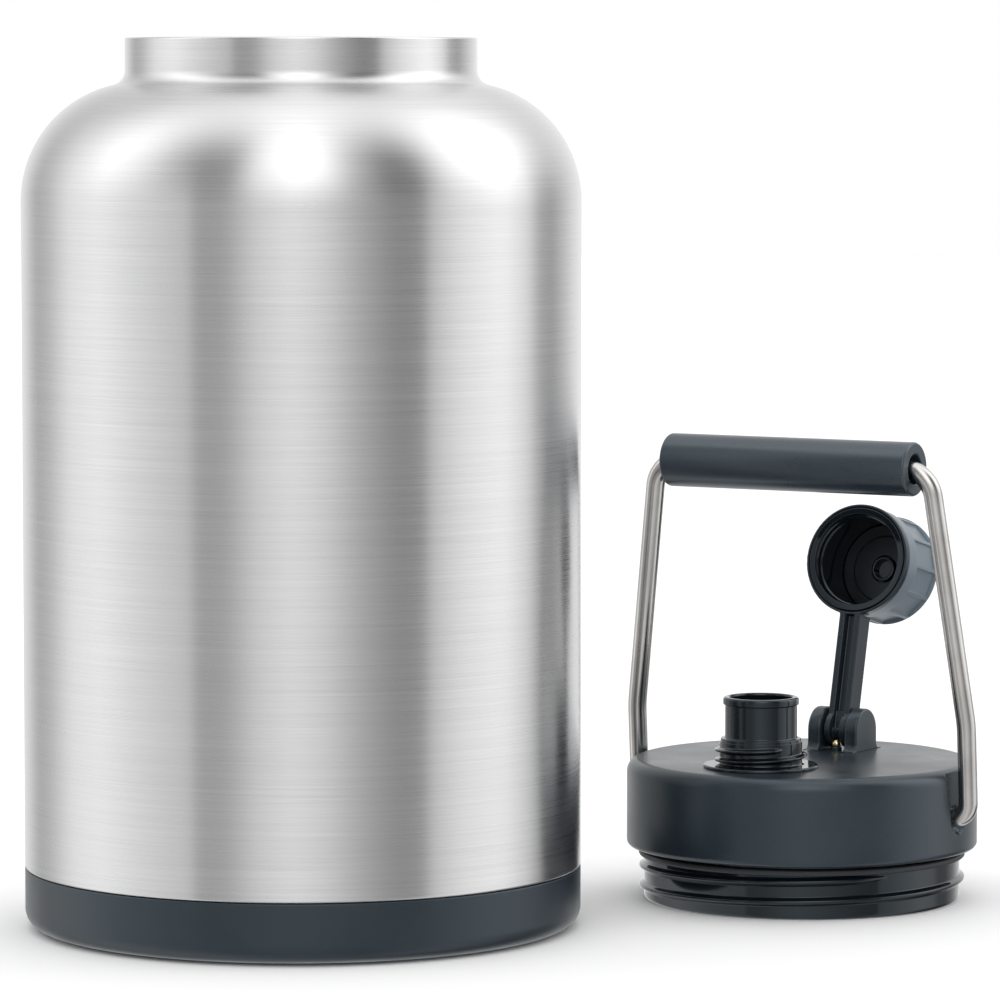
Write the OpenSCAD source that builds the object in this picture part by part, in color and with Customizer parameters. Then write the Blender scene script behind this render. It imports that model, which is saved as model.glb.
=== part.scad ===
// Large insulated water jug with its screw-in spout lid standing beside it.
// Millimetres, +Z up, origin at the centre of the jug's foot.

/* [Jug body] */
// Outside radius of the steel body
body_r = 82.5; // [78:0.5:90]
// Height of the mouth's rim
rim_z = 263; // [255:1:300]
// Outside radius of the shoulder's round
shoulder_r = 35; // [32:0.5:38]
// Outside radius of the neck
neck_r = 51.8; // [51.8:0.1:53]
// Radius of the hollow round at the foot of the neck
neck_fillet = 4.5; // [3:0.5:6]
// Thickness of the outer steel shell
shell_wall = 0.8; // [0.6:0.1:1]
// Thickness of the inner steel liner
liner_wall = 0.7; // [0.5:0.1:0.8]
// Width of the vacuum gap round the body
vacuum_gap = 6.7; // [5:0.1:8]

/* [Base] */
// Height of the base cup
base_h = 18.4; // [14:0.2:24]
// Radius of the base cup's lower edge
base_edge = 5.5; // [3:0.5:7]
// Thickness of the base cup's side
base_wall = 2.3; // [2:0.1:3]
// Radius of the non-slip pad
pad_r = 68; // [55:1:72]

/* [Lid] */
// Distance from the jug's axis to the lid's, to the right
lid_x = 151.2; // [145:0.1:200]
// Distance from the jug's axis to the lid's, to the back
lid_y = 55; // [50:1:120]
// Turn of the lid about its own axis, in degrees
lid_turn = -31; // [-40:1:0]
// Outside radius of the lid cap
cap_r = 53.7; // [53.7:0.1:55]
// Height at which the lid cap starts, above the plug's underside
cap_z = 16.3; // [16:0.1:18]
// Height of the lid cap
cap_h = 26.7; // [25:0.1:30]
// Radius of the lid cap's upper edge
cap_edge = 4; // [2:0.5:5]
// Radius of the threaded plug between its ridges
plug_r = 48.4; // [48:0.1:48.6]
// Radius over the plug's thread
plug_crest = 49.9; // [49.4:0.1:49.9]
// Pitch of the mouth thread
mouth_pitch = 6; // [5:0.1:7]

/* [Spout] */
// Distance from the lid's axis to the spout's axis, and to the hinge pin
reach = 26.6; // [25:0.1:28]
// Radius of the spout's bore
spout_bore = 9.5; // [8:0.1:10]
// Radius of the spout's tube
spout_r = 10.9; // [10.8:0.1:11.2]
// Height of the spout above the lid
spout_h = 21.5; // [20:0.1:21.5]
// Radius over the spout's thread
spout_crest = 14; // [13.8:0.1:14]
// Pitch of the spout thread
spout_pitch = 3; // [3:0.1:3.4]

/* [Cap arm and spout cap] */
// Height of the hinge pin above the lid
pin_h = 6; // [6:0.1:6.5]
// Lean of the open arm past upright, in degrees
arm_lean = 13.5; // [5:0.5:20]
// Width of the arm
arm_w = 7.4; // [7:0.1:8]
// Outside radius of the arm's ring
ring_r = 17.4; // [17.2:0.1:18]
// Number of flats round the spout cap
flats = 12; // [6:1:16]

/* [Bail and grip] */
// Radius of the bail's wire
wire_r = 2.9; // [2.5:0.1:3]
// Distance from the lid's axis to a leg's centre
leg_x = 57; // [57:0.1:59]
// Height of the pivots above the plug's underside
pivot_z = 28; // [27:0.5:30]
// Distance from the pivots to the grip's axis
bail_h = 106; // [100:1:120]
// Slope of the upper legs, in degrees
leg_slope = 7.5; // [6:0.1:9]
// Lean of the standing bail towards the spout, in degrees
bail_lean = 4; // [0:0.5:5]
// Radius of the grip
grip_r = 8.2; // [7.5:0.1:10]
// Length of the grip
grip_l = 84; // [80:1:87]

/* [Hidden] */

$fn = 96;
eps = 0.01;
big = 400;

// Colours
steel_colour = [0.78, 0.79, 0.80];
inner_steel_colour = [0.70, 0.71, 0.73];
matte_black = [0.21, 0.23, 0.25];
gloss_black = [0.08, 0.09, 0.10];
rubber_black = [0.13, 0.13, 0.14];
cap_grey = [0.40, 0.45, 0.49];
foam_cream = [0.92, 0.90, 0.82];
brass_colour = [0.82, 0.66, 0.36];
silicone_grey = [0.55, 0.56, 0.57];

// Jug
shoulder_z = rim_z - 48;
shoulder_x = body_r - shoulder_r;
step_r = body_r - base_wall;
floor_z = 4;
liner_r = body_r - shell_wall - vacuum_gap;
liner_shoulder_r = liner_r - shoulder_x;
liner_neck_r = neck_r - shell_wall;
liner_fillet = 12;
liner_floor_z = 14;
liner_corner = 20;
mouth_r = liner_neck_r - liner_wall;
mouth_crest = 49.2;
plate_z = 6;
plate_r = step_r - shell_wall;
dimple_r = 7;
dimple_h = 1.6;
getter_x = 38;
pad_h = 2.2;
cup_foot = 0.6;
seam = 0.15;

// Lid
lid_top = cap_z + cap_h;
cap_wall = 3;
cap_bottom_edge = 1.7;
deck_t = 3.5;
seat_t = 3;
spigot_r = 47;
recess_flat = cap_r - 1.6;
pivot_bore = wire_r + 0.05;
pivot_end = 45.5;
boss_r = 6.5;
recess_r = wire_r + 1.8;
recess_half = 7;
thread_z = 2.2;
gasket_z = [13.3, 15.3];
gasket_seat = 1.2;
spout_seat = 1.2;

// Spout
tail_r = 11.9;
spout_root = 12.5;
collar_r = 12.2;
lip_r = 11.5;
spout_start = 1.8;
lip_t = 2.3;
flange_r = 17.4;
flange_t = 1;

// Hinge
pin_z = lid_top + pin_h;
pin_r = 1.5;
arm_bore = pin_r + 0.05;
arm_l = 2 * reach;
arm_t = 7;
ear_gap = 8.4;
ear_t = 4.4;
ear_r = 7;
groove_w = 3.2;
groove_d = 2.6;
foot_r = 5.6;
slot_r = 3.7;
slot_y = 2.3;
ball_r = 1.4;
ball_y = reach - 3.9;
ball_z = lid_top + 1.9;
ball_pocket = 2.4;

// Spout cap, measured along its axis from the hinge pin's level
mouth_y = -3.5;
ring_back = -1;
ring_bore = 15.7;
bead_r = 16.3;
cap_root = 14.3;
cap_crest = 13.6;
liner_out = 15.4;
seal_y = spout_h - pin_h + 0.4;
seal_t = 1.2;
shell_r = 17.2;
shell_front = -0.7;
shell_end = seal_y + seal_t + 3;
end_wall = 1.5;

// Bail
foot_bend = 5;
top_bend = 9.5;
knee_bend = 40;
top_half = 38.5;
bite = 0.2;

// ---- Placing ----

// The lid's own frame: X along the bail's pivots, -Y towards the spout
module at_lid() {
    translate([lid_x, lid_y, 0]) rotate([0, 0, lid_turn]) children();
}

// The arm's frame: origin on the hinge pin, +Z along the arm, -Y out of the spout cap's mouth
module at_arm() {
    at_lid() translate([0, reach, pin_z]) rotate([-arm_lean, 0, 0]) children();
}

// The spout cap's frame: +Z along its axis, away from its mouth
module at_spout_cap() {
    at_arm() translate([0, 0, arm_l]) rotate([-90, 0, 0]) children();
}

// The bail's frame: origin on the pivots, +Z towards the grip
module at_bail() {
    at_lid() translate([0, 0, pivot_z]) rotate([bail_lean, 0, 0]) children();
}

// ---- Shared shapes ----

// A cylinder along X from x0 to x1
module rod_x(r, x0, x1) {
    translate([x0, 0, 0]) rotate([0, 90, 0]) cylinder(r = r, h = x1 - x0);
}

// A thread ridge round Z: height z at azimuth turn[0], to azimuth turn[1], buried at r_wall
module ridge(r_wall, r_crest, z, pitch, turn, base, tip) {
    fade = 18;
    n = ceil((turn[1] - turn[0]) / 7.5);
    outward = r_crest > r_wall;
    function grow(a) = min(1, 0.15 + 0.85 * min(a - turn[0], turn[1] - a) / fade);
    function section(a, g) =
        let (h = z + pitch * (a - turn[0]) / 360, rc = r_wall + (r_crest - r_wall) * g)
        [for (p = [[r_wall, -base / 2], [rc, -tip / 2], [rc, tip / 2], [r_wall, base / 2]])
            [p[0] * cos(a), p[0] * sin(a), h + p[1] * (0.4 + 0.6 * g)]];
    points = [for (i = [0 : n]) let (a = turn[0] + (turn[1] - turn[0]) * i / n)
        each section(a, grow(a))];
    sides = [for (i = [0 : n - 1], j = [0 : 3])
        let (a = 4 * i + j, b = 4 * i + (j + 1) % 4)
        each [[a, b, b + 4], [a, b + 4, a + 4]]];
    ends = [[2, 1, 0], [3, 2, 0], [4 * n, 4 * n + 1, 4 * n + 2], [4 * n, 4 * n + 2, 4 * n + 3]];
    faces = concat(sides, ends);
    polyhedron(points, outward ? faces : [for (f = faces) [f[2], f[1], f[0]]]);
}

// Half section of a shouldered vessel from z0 to z1: shoulder s round, neck n, fillet f.
// Its pieces meet along whole edges, square to the outline.
module vessel_half(s, n, f, z0, z1) {
    span = s + f;
    dx = n + f - shoulder_x;
    dz = sqrt(span * span - dx * dx);
    touch = [s * dx / span, s * dz / span];
    neck_x = n - shoulder_x;
    square_to([shoulder_x + s, shoulder_z], z0);
    translate([shoulder_x, shoulder_z]) {
        intersection() {
            circle(r = s);
            polygon([[0, 0], [2 * s, 0], [2 * s, 2 * s], [touch[0], 2 * s], touch]);
        }
        difference() {
            polygon([[-shoulder_x, 0], [0, 0], touch, [neck_x + f / 2, dz - f / 5],
                     [neck_x, dz], [-shoulder_x, dz]]);
            translate([neck_x + f, dz]) circle(r = f);
        }
        translate([-shoulder_x, dz]) square([n, z1 - shoulder_z - dz]);
    }
}

// A rectangle from the axis at height z0 to the corner
module square_to(corner, z0) {
    translate([0, z0]) square([corner[0], corner[1] - z0]);
}

// Half section of a disc of radius r from z0 to z1, with its lower and upper edges rounded
module puck_half(r, z0, z1, low = 0, high = 0) {
    square_to([r - low, z1 - high], z0);
    square_to([r, z1 - high], z0 + low);
    square_to([r - high, z1], z0 + low);
    if (low > 0) translate([r - low, z0 + low]) circle(r = low);
    if (high > 0) translate([r - high, z1 - high]) circle(r = high);
}

// ---- Jug ----

// Drawn steel outer wall, stepped in at its foot to take the base cup
module outer_shell() {
    lip = 0.6;
    color(steel_colour) rotate_extrude() difference() {
        union() {
            vessel_half(shoulder_r, neck_r, neck_fillet, base_h, rim_z - lip);
            square_to([step_r, base_h + 1], floor_z);
            square_to([neck_r - lip, rim_z], base_h);
            translate([neck_r - lip, rim_z - lip]) circle(r = lip);
        }
        union() {
            vessel_half(shoulder_r - shell_wall, neck_r - shell_wall, neck_fillet + shell_wall,
                        base_h + shell_wall, rim_z + 1);
            square_to([step_r - shell_wall, base_h + 2], floor_z - 1);
        }
    }
}

// Half section of the inner bottle, grown inwards by t and topped at z1
module liner_half(t, z1) {
    corner_x = liner_r - liner_corner;
    corner_z = liner_floor_z + liner_corner;
    vessel_half(liner_shoulder_r - t, liner_neck_r - t, liner_fillet + t, corner_z, z1);
    square_to([corner_x, corner_z + 1], liner_floor_z + t);
    translate([corner_x, corner_z]) circle(r = liner_corner - t);
}

// Inner steel bottle, with the mouth's thread rolled into its neck
module inner_liner() {
    color(inner_steel_colour) {
        rotate_extrude() difference() {
            liner_half(0, rim_z);
            liner_half(liner_wall, rim_z + 1);
        }
        ridge(mouth_r + 0.2, mouth_crest, rim_z - 10, mouth_pitch, [40, 400], 2.6, 1.2);
    }
}

// Pressed plate that closes the outer shell, with a dimple for the vacuum seal
module vacuum_base_plate() {
    color(steel_colour) rotate_extrude() difference() {
        union() {
            square_to([plate_r, plate_z + shell_wall], floor_z);
            square_to([dimple_r, plate_z + shell_wall + dimple_h], plate_z);
        }
        square_to([plate_r - shell_wall, plate_z], floor_z - 1);
        square_to([dimple_r - shell_wall, plate_z + dimple_h], floor_z - 1);
        square_to([1, big], 0);
    }
}

// Bead that seals the hole the vacuum was drawn through
module vacuum_seal() {
    color(silicone_grey) {
        translate([0, 0, plate_z]) cylinder(r = 3, h = dimple_h);
        translate([0, 0, plate_z + dimple_h - eps]) cylinder(r = 1, h = shell_wall);
    }
}

// Pill that keeps the vacuum, spot-welded to the base plate
module getter() {
    color(inner_steel_colour) translate([getter_x, 0, plate_z + shell_wall])
        rotate_extrude() puck_half(5, 0, 2.6, 0.4, 0.8);
}

// Moulded cup pressed over the foot of the steel
module base_cup() {
    color(matte_black) rotate_extrude() difference() {
        puck_half(body_r, cup_foot, base_h - seam, base_edge, 0.4);
        square_to([step_r, big], floor_z);
        square_to([pad_r + 0.1, pad_h], 0);
    }
}

// Non-slip pad in the underside, the face that the jug stands on
module base_pad() {
    color(rubber_black) cylinder(r = pad_r, h = pad_h);
}

// ---- Lid ----

// Side view of a hinge ear: round top about the pin, straight flanks, flared foot
module ear_outline() {
    flare = 2.5;
    circle(r = ear_r);
    translate([-ear_r, -pin_h - 1]) square([2 * ear_r, pin_h + 1]);
    for (side = [-1, 1]) difference() {
        translate([side * (ear_r + flare / 2 - eps), (flare - 1) / 2 - pin_h])
            square([flare, flare + 1], center = true);
        translate([side * (ear_r + flare), flare - pin_h]) circle(r = flare);
    }
}

// Face cut for one leg: a flat that narrows down to a round end about the pivot
module leg_recess() {
    top = lid_top - pivot_z + 1;
    translate([recess_flat, 0, pivot_z]) {
        rod_x(recess_r, 0, 10);
        rotate([90, 0, 90]) linear_extrude(10)
            polygon([[-recess_r, 0], [recess_r, 0], [recess_half, top], [-recess_half, top]]);
    }
}

// Moulded outer cap with the hinge ears, the leg pivots and the spout hole
module lid_cap() {
    inner = cap_r - cap_wall;
    color(matte_black) at_lid() difference() {
        union() {
            difference() {
                rotate_extrude() puck_half(cap_r, cap_z, lid_top, cap_bottom_edge, cap_edge);
                translate([0, 0, cap_z + seat_t]) cylinder(r = inner, h = cap_h - seat_t - deck_t);
                translate([0, 0, cap_z - 1]) cylinder(r = spigot_r, h = seat_t + 2);
            }
            for (side = [0, 180]) rotate([0, 0, side]) translate([0, 0, pivot_z])
                rod_x(boss_r, pivot_end - 2, inner + 0.5);
            for (side = [-1, 1]) translate([side * (ear_gap + ear_t) / 2, reach, pin_z])
                rotate([90, 0, 90]) linear_extrude(ear_t, center = true) ear_outline();
            translate([0, ball_y, lid_top - 1]) cylinder(r = ball_r + 0.35, h = 2);
        }
        for (side = [0, 180]) rotate([0, 0, side]) {
            leg_recess();
            translate([0, 0, pivot_z]) rod_x(pivot_bore, pivot_end, cap_r);
        }
        translate([0, reach, pin_z]) rod_x(pin_r, -ear_gap / 2 - ear_t - 1, ear_gap / 2 + 3);
        translate([0, -reach, cap_z]) cylinder(r = tail_r, h = big);
        translate([0, -reach, lid_top - spout_seat]) cylinder(r = tail_r + 3.5, h = 2);
        translate([0, ball_y, lid_top - ball_pocket]) cylinder(r = ball_r + 0.02, h = 4);
    }
}

// Threaded lower moulding, which closes the mouth
module lid_plug() {
    wall = 2.2;
    color(gloss_black) at_lid() {
        difference() {
            rotate_extrude() difference() {
                union() {
                    puck_half(plug_r, 0, cap_z, 1.2);
                    square_to([spigot_r, cap_z + seat_t], cap_z - 1);
                }
                square_to([plug_r - wall - 0.6, big], 2.4);
                translate([plug_r - gasket_seat, gasket_z[0]])
                    square([2, gasket_z[1] - gasket_z[0]]);
            }
            translate([0, -reach, -1]) cylinder(r = tail_r, h = 10);
        }
        ridge(plug_r - 0.3, plug_crest, thread_z, mouth_pitch, [100, 690], 2.6, 1.1);
    }
}

// Insulating filler between the plug and the cap's deck
module lid_foam() {
    low_r = plug_r - 2.9;
    high_r = pivot_end - 2.5;
    color(foam_cream) at_lid() difference() {
        union() {
            translate([0, 0, 2.5]) cylinder(r = low_r, h = cap_z + seat_t - 2.5);
            translate([0, 0, cap_z]) cylinder(r = high_r, h = cap_h - deck_t - 0.1);
        }
        translate([0, -reach, 0]) cylinder(r = tail_r + 0.1, h = big);
    }
}

// Silicone ring in the plug's groove
module lid_gasket() {
    color(rubber_black) at_lid() rotate_extrude() difference() {
        translate([0, gasket_z[0] + 0.02])
            square([plug_r + 1.6, gasket_z[1] - gasket_z[0] - 0.04]);
        square_to([plug_r - gasket_seat + 0.1, big], 0);
    }
}

// Drinking spout: a tube through the lid with a flange, a thread and a rolled lip
module spout() {
    collar_z = lid_top + 9;
    lip_z = lid_top + spout_h - lip_t;
    color(gloss_black) at_lid() translate([0, -reach, 0]) {
        rotate_extrude() difference() {
            union() {
                square_to([tail_r, lid_top + 1], 0);
                puck_half(flange_r, lid_top, lid_top + flange_t, 0, 0.5);
                square_to([spout_root, lid_top + 8], lid_top);
                square_to([collar_r, collar_z], lid_top);
                square_to([spout_r, lip_z + 1], lid_top);
                puck_half(lip_r, lip_z, lip_z + lip_t, 0.9, 0.9);
            }
            square_to([spout_bore, big], -1);
        }
        ridge(spout_root - 0.8, spout_crest, lid_top + spout_start, spout_pitch, [150, 690],
              2.1, 0.8);
    }
}

// Flat ring that seals the spout's flange to the deck
module spout_gasket() {
    color(rubber_black) at_lid() translate([0, -reach, lid_top - spout_seat]) difference() {
        cylinder(r = tail_r + 3.4, h = spout_seat);
        translate([0, 0, -1]) cylinder(r = tail_r + 0.6, h = 4);
    }
}

// Steel pin pressed into the ears
module hinge_pin() {
    color(steel_colour) at_lid() translate([0, reach, pin_z])
        rod_x(pin_r, -ear_gap / 2 - ear_t + 0.4, ear_gap / 2 + 3 - 0.1);
}

// Brass ball that the arm's slot rides over
module detent_ball() {
    color(brass_colour) at_lid() translate([0, ball_y, ball_z]) sphere(r = ball_r);
}

// Coil spring under the ball
module detent_spring() {
    wire = 0.2;
    coil_r = ball_r - wire - 0.1;
    turns = 4;
    steps = 20;
    sides = 6;
    foot = lid_top - ball_pocket;
    rise = ball_z - ball_r * 0.75 - foot - 2 * wire;
    n = turns * steps;
    points = [for (i = [0 : n], j = [0 : sides - 1])
        let (a = 360 * i / steps, b = 360 * j / sides, r = coil_r + wire * cos(b))
        [r * cos(a), r * sin(a), wire * sin(b) + rise * i / n]];
    tube = [for (i = [0 : n - 1], j = [0 : sides - 1])
        let (a = sides * i + j, b = sides * i + (j + 1) % sides)
        each [[a, b, b + sides], [a, b + sides, a + sides]]];
    ends = [[for (j = [sides - 1 : -1 : 0]) j], [for (j = [0 : sides - 1]) sides * n + j]];
    color(steel_colour) at_lid() translate([0, ball_y, foot + wire])
        polyhedron(points, concat(tube, ends));
}

// ---- Arm and spout cap ----

// Arm with a slotted foot on the pin and a ring that carries the spout cap
module cap_arm() {
    ring_foot = arm_l - ring_r + 1;
    color(matte_black) at_arm() difference() {
        union() {
            rod_x(foot_r, -arm_w / 2, arm_w / 2);
            translate([-arm_w / 2, -arm_t / 2, 0]) cube([arm_w, arm_t, ring_foot]);
            translate([0, mouth_y, arm_l]) rotate([-90, 0, 0])
                cylinder(r = ring_r, h = ring_back - mouth_y);
        }
        rod_x(arm_bore, -arm_w, arm_w);
        difference() {
            rod_x(foot_r + 5, -groove_w / 2, groove_w / 2);
            rod_x(slot_r, -arm_w, arm_w);
            translate([-arm_w, -arm_t, 0]) cube([2 * arm_w, 2 * arm_t, foot_r + 6]);
        }
        translate([-groove_w / 2, -arm_t, 0]) cube([groove_w, arm_t - slot_y, foot_r + eps]);
        translate([-groove_w / 2, -arm_t / 2 - 1, foot_r])
            cube([groove_w, groove_d + 1, ring_foot - foot_r - 1]);
        translate([-groove_w / 2, arm_t / 2 - 1.2, foot_r + 3])
            cube([groove_w, 3, ring_foot - foot_r - 8]);
        translate([0, mouth_y - 1, arm_l]) rotate([-90, 0, 0]) cylinder(r = ring_bore, h = 12);
        translate([0, mouth_y - 1, arm_l]) rotate([-90, 0, 0])
            cylinder(r = bead_r + 0.3, h = 2.1);
        translate([0, ring_back, arm_l]) rotate([-90, 0, 0]) cylinder(r = shell_r + 0.4, h = 12);
    }
}

// Outer shell of the spout cap: plain band, then flats divided by ribs
module spout_cap_shell() {
    band = 5;
    flat_depth = 0.6;
    rib = 1.3;
    pitch = 360 / flats;
    chord = 2 * shell_r * sin(pitch / 2) - rib;
    color(cap_grey) at_spout_cap() difference() {
        rotate_extrude() puck_half(shell_r, shell_front, shell_end, 0.3, 1.2);
        translate([0, 0, shell_front - 1])
            cylinder(r = liner_out + 0.1, h = shell_end - end_wall - shell_front + 1);
        for (i = [0 : flats - 1]) rotate([0, 0, (i + 0.5) * pitch])
            translate([shell_r * cos(pitch / 2) - flat_depth, -chord / 2, band])
                cube([5, chord, shell_end - band - 1.6]);
    }
}

// Threaded inner cup of the spout cap, held in the ring by its bead.
// Closed, its ridge lies half a pitch from the spout's.
module spout_cap_liner() {
    ceiling = seal_y + seal_t;
    start = spout_start + spout_pitch / 2 - pin_h;
    color(gloss_black) at_spout_cap() {
        rotate_extrude() difference() {
            union() {
                square_to([liner_out, shell_end - end_wall], mouth_y);
                puck_half(bead_r, mouth_y, mouth_y + 0.8, 0.3);
            }
            square_to([cap_root, ceiling], mouth_y - 1);
        }
        ridge(cap_root + 0.4, cap_crest, start, spout_pitch, [150, 650], 1.9, 0.7);
        translate([0, 0, ceiling - 2]) rotate_extrude() difference() {
            square_to([4, 2.5], 0);
            square_to([3, 2], -1);
        }
    }
}

// Silicone disc that closes on the spout's lip
module spout_cap_seal() {
    color(silicone_grey) at_spout_cap() translate([0, 0, seal_y]) difference() {
        cylinder(r = cap_root - 0.1, h = seal_t);
        translate([0, 0, -1]) cylinder(r = 4.3, h = 4);
    }
}

// ---- Bail and grip ----

// One half of the bail, from the pivot's end to the start of the grip
module half_bail() {
    top_c = bail_h - top_bend;
    top_start = [top_half + top_bend * cos(leg_slope), top_c + top_bend * sin(leg_slope)];
    knee_x = leg_x - knee_bend * (1 - cos(leg_slope));
    upper_l = (knee_x - top_start[0]) / sin(leg_slope);
    knee_top = top_start[1] - upper_l * cos(leg_slope);
    knee_z = knee_top - knee_bend * sin(leg_slope);
    foot_x = leg_x - foot_bend;
    rod_x(wire_r, pivot_end + 0.5, foot_x + bite);
    wire_bend([foot_x, foot_bend], foot_bend, -90, 0);
    translate([leg_x, 0, foot_bend - bite])
        cylinder(r = wire_r, h = knee_z - foot_bend + 2 * bite);
    wire_bend([leg_x - knee_bend, knee_z], knee_bend, 0, leg_slope);
    translate([knee_x, 0, knee_top]) rotate([0, -leg_slope, 0])
        translate([0, 0, -bite]) cylinder(r = wire_r, h = upper_l + 2 * bite);
    wire_bend([top_half, top_c], top_bend, leg_slope, 90);
}

// A bend of the wire in the XZ plane about the centre c, from angle a0 to a1.
// It is a little thinner than the straights, which run a short way over its ends.
module wire_bend(c, r, a0, a1) {
    translate([c[0], 0, c[1]]) rotate([90, 0, 0]) rotate([0, 0, a0])
        rotate_extrude(angle = a1 - a0) translate([r, 0]) circle(r = wire_r - 0.05);
}

// Bent steel wire handle
module bail_wire() {
    color(steel_colour) at_bail() {
        half_bail();
        mirror([1, 0, 0]) half_bail();
        translate([0, 0, bail_h]) rod_x(wire_r, -top_half - bite, top_half + bite);
    }
}

// Plastic tube on the bail, opened out at both ends to clear the bends
module grip_tube() {
    clear = 5.5;
    color(matte_black) at_bail() translate([-grip_l / 2, 0, bail_h]) rotate([0, 90, 0])
        rotate_extrude() difference() {
            puck_half(grip_r, 0, grip_l, 0.7, 0.7);
            square_to([wire_r + 0.05, big], -1);
            square_to([wire_r + 1.6, clear], -1);
            square_to([wire_r + 1.6, big], grip_l - clear);
        }
}

outer_shell();
inner_liner();
vacuum_base_plate();
vacuum_seal();
getter();
base_cup();
base_pad();
lid_cap();
lid_plug();
lid_foam();
lid_gasket();
spout();
spout_gasket();
hinge_pin();
detent_ball();
detent_spring();
cap_arm();
spout_cap_shell();
spout_cap_liner();
spout_cap_seal();
bail_wire();
grip_tube();
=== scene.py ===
"""Insulated water jug with its spout lid beside it: looks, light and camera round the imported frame."""

import math

import bmesh
import bpy
from mathutils import Matrix, Vector


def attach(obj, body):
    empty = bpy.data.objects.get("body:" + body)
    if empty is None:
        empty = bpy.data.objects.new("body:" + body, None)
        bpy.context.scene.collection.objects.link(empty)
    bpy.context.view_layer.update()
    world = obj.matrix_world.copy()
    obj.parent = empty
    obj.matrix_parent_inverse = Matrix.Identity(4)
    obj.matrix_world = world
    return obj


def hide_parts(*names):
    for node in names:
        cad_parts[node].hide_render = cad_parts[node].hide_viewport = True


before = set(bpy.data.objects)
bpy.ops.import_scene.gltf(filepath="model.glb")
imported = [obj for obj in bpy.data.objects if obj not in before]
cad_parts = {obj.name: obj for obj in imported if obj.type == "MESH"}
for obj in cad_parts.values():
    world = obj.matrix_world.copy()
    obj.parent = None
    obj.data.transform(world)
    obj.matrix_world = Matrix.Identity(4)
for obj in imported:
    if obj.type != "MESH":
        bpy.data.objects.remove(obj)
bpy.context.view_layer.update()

# ---------------------------------------------------------------- sizes, in millimetres
BODY_R, RIM_Z = 82.5, 263.0
SHOULDER_R, NECK_R, NECK_FILLET = 35.0, 51.8, 4.5
SHELL_WALL, LINER_WALL, VACUUM_GAP = 0.8, 0.7, 6.7
BASE_H, BASE_EDGE, BASE_WALL, PAD_R, PAD_H = 18.4, 5.5, 2.3, 68.0, 2.2
SHOULDER_X, SHOULDER_Z = BODY_R - SHOULDER_R, RIM_Z - 48.0
STEP_R, FLOOR_Z = BODY_R - BASE_WALL, 4.0
LID_TURN = -31.0
CAP_R, CAP_Z, LID_TOP, CAP_EDGE = 53.7, 16.3, 43.0, 4.0
PLUG_R, PLUG_CREST, MOUTH_PITCH = 48.4, 49.9, 6.0
REACH, SPOUT_BORE, SPOUT_R, SPOUT_H, SPOUT_PITCH = 26.6, 9.5, 10.9, 21.5, 3.0
PIN_H, ARM_LEAN, ARM_L = 6.0, 13.5, 2 * REACH
PIN_Z = LID_TOP + PIN_H
WIRE_R, LEG_X, PIVOT_Z, BAIL_H, LEG_SLOPE = 2.9, 57.0, 28.0, 106.0, 7.5
BAIL_LEAN = 4.0
GRIP_R, GRIP_L = 8.2, 84.0
EAR_GAP, EAR_T, PIN_R = 8.4, 4.4, 1.5
BALL_R, BALL_AHEAD = 1.4, 3.9
SPOUT_TUBE_R = 11.9
MM = 0.001
# Degrees between two faces from which their edge is hard: on most pieces, and on those with holes cut in them
SHARP, SHARP_CUT = 38, 50


def shift(x, y, z):
    return Matrix.Translation((x * MM, y * MM, z * MM))


def turn(degrees, axis):
    return Matrix.Rotation(math.radians(degrees), 4, axis)


JUG = Matrix.Identity(4)
LID = shift(151.2, 55.0, 0) @ turn(LID_TURN, "Z")
SPOUT = LID @ shift(0, -REACH, 0)
ARM = LID @ shift(0, REACH, PIN_Z) @ turn(-ARM_LEAN, "X")
SPOUT_CAP = ARM @ shift(0, 0, ARM_L) @ turn(-90, "X")
BAIL = LID @ shift(0, 0, PIVOT_Z) @ turn(BAIL_LEAN, "X")
GRIP = BAIL @ shift(-GRIP_L / 2, 0, BAIL_H) @ turn(90, "Y")


# ---------------------------------------------------------------- outlines
def arc(cx, cz, r, a0, a1, n=8):
    """Points of an arc in a half section, angles in degrees from outwards towards up."""
    steps = [math.radians(a0 + (a1 - a0) * i / n) for i in range(n + 1)]
    return [(cx + r * math.cos(a), cz + r * math.sin(a)) for a in steps]


def rounded(points, closed=True, n=5):
    """An outline from (r, z) or (r, z, corner radius) points, each corner rounded."""
    out, count = [], len(points)
    for i, p in enumerate(points):
        radius = p[2] if len(p) > 2 else 0
        here = Vector(p[:2])
        if not radius or (not closed and i in (0, count - 1)):
            out.append(tuple(here))
            continue
        back = Vector(points[i - 1][:2]) - here
        on = Vector(points[(i + 1) % count][:2]) - here
        half = back.angle(on) / 2
        cut = min(radius / math.tan(half), back.length * 0.49, on.length * 0.49)
        radius = cut * math.tan(half)
        a, b = here + back.normalized() * cut, here + on.normalized() * cut
        centre = here + (back.normalized() + on.normalized()).normalized() * (radius / math.sin(half))
        start, end = a - centre, b - centre
        sweep = start.angle_signed(end)
        for k in range(n + 1):
            w = -sweep * k / n
            c, s = math.cos(w), math.sin(w)
            out.append((centre.x + start.x * c - start.y * s, centre.y + start.x * s + start.y * c))
    return out


def supported(outline, closed=True):
    """Adds a point close to both ends of each long straight, so that shading stays flat there."""
    out, count = [], len(outline)
    for i, p in enumerate(outline):
        out.append(p)
        if i == count - 1 and not closed:
            break
        q = outline[(i + 1) % count]
        d = math.dist(p, q)
        if d > 1.2:
            for t in (0.06 / d, 1 - 0.06 / d):
                out.append((p[0] + (q[0] - p[0]) * t, p[1] + (q[1] - p[1]) * t))
    return out


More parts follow.
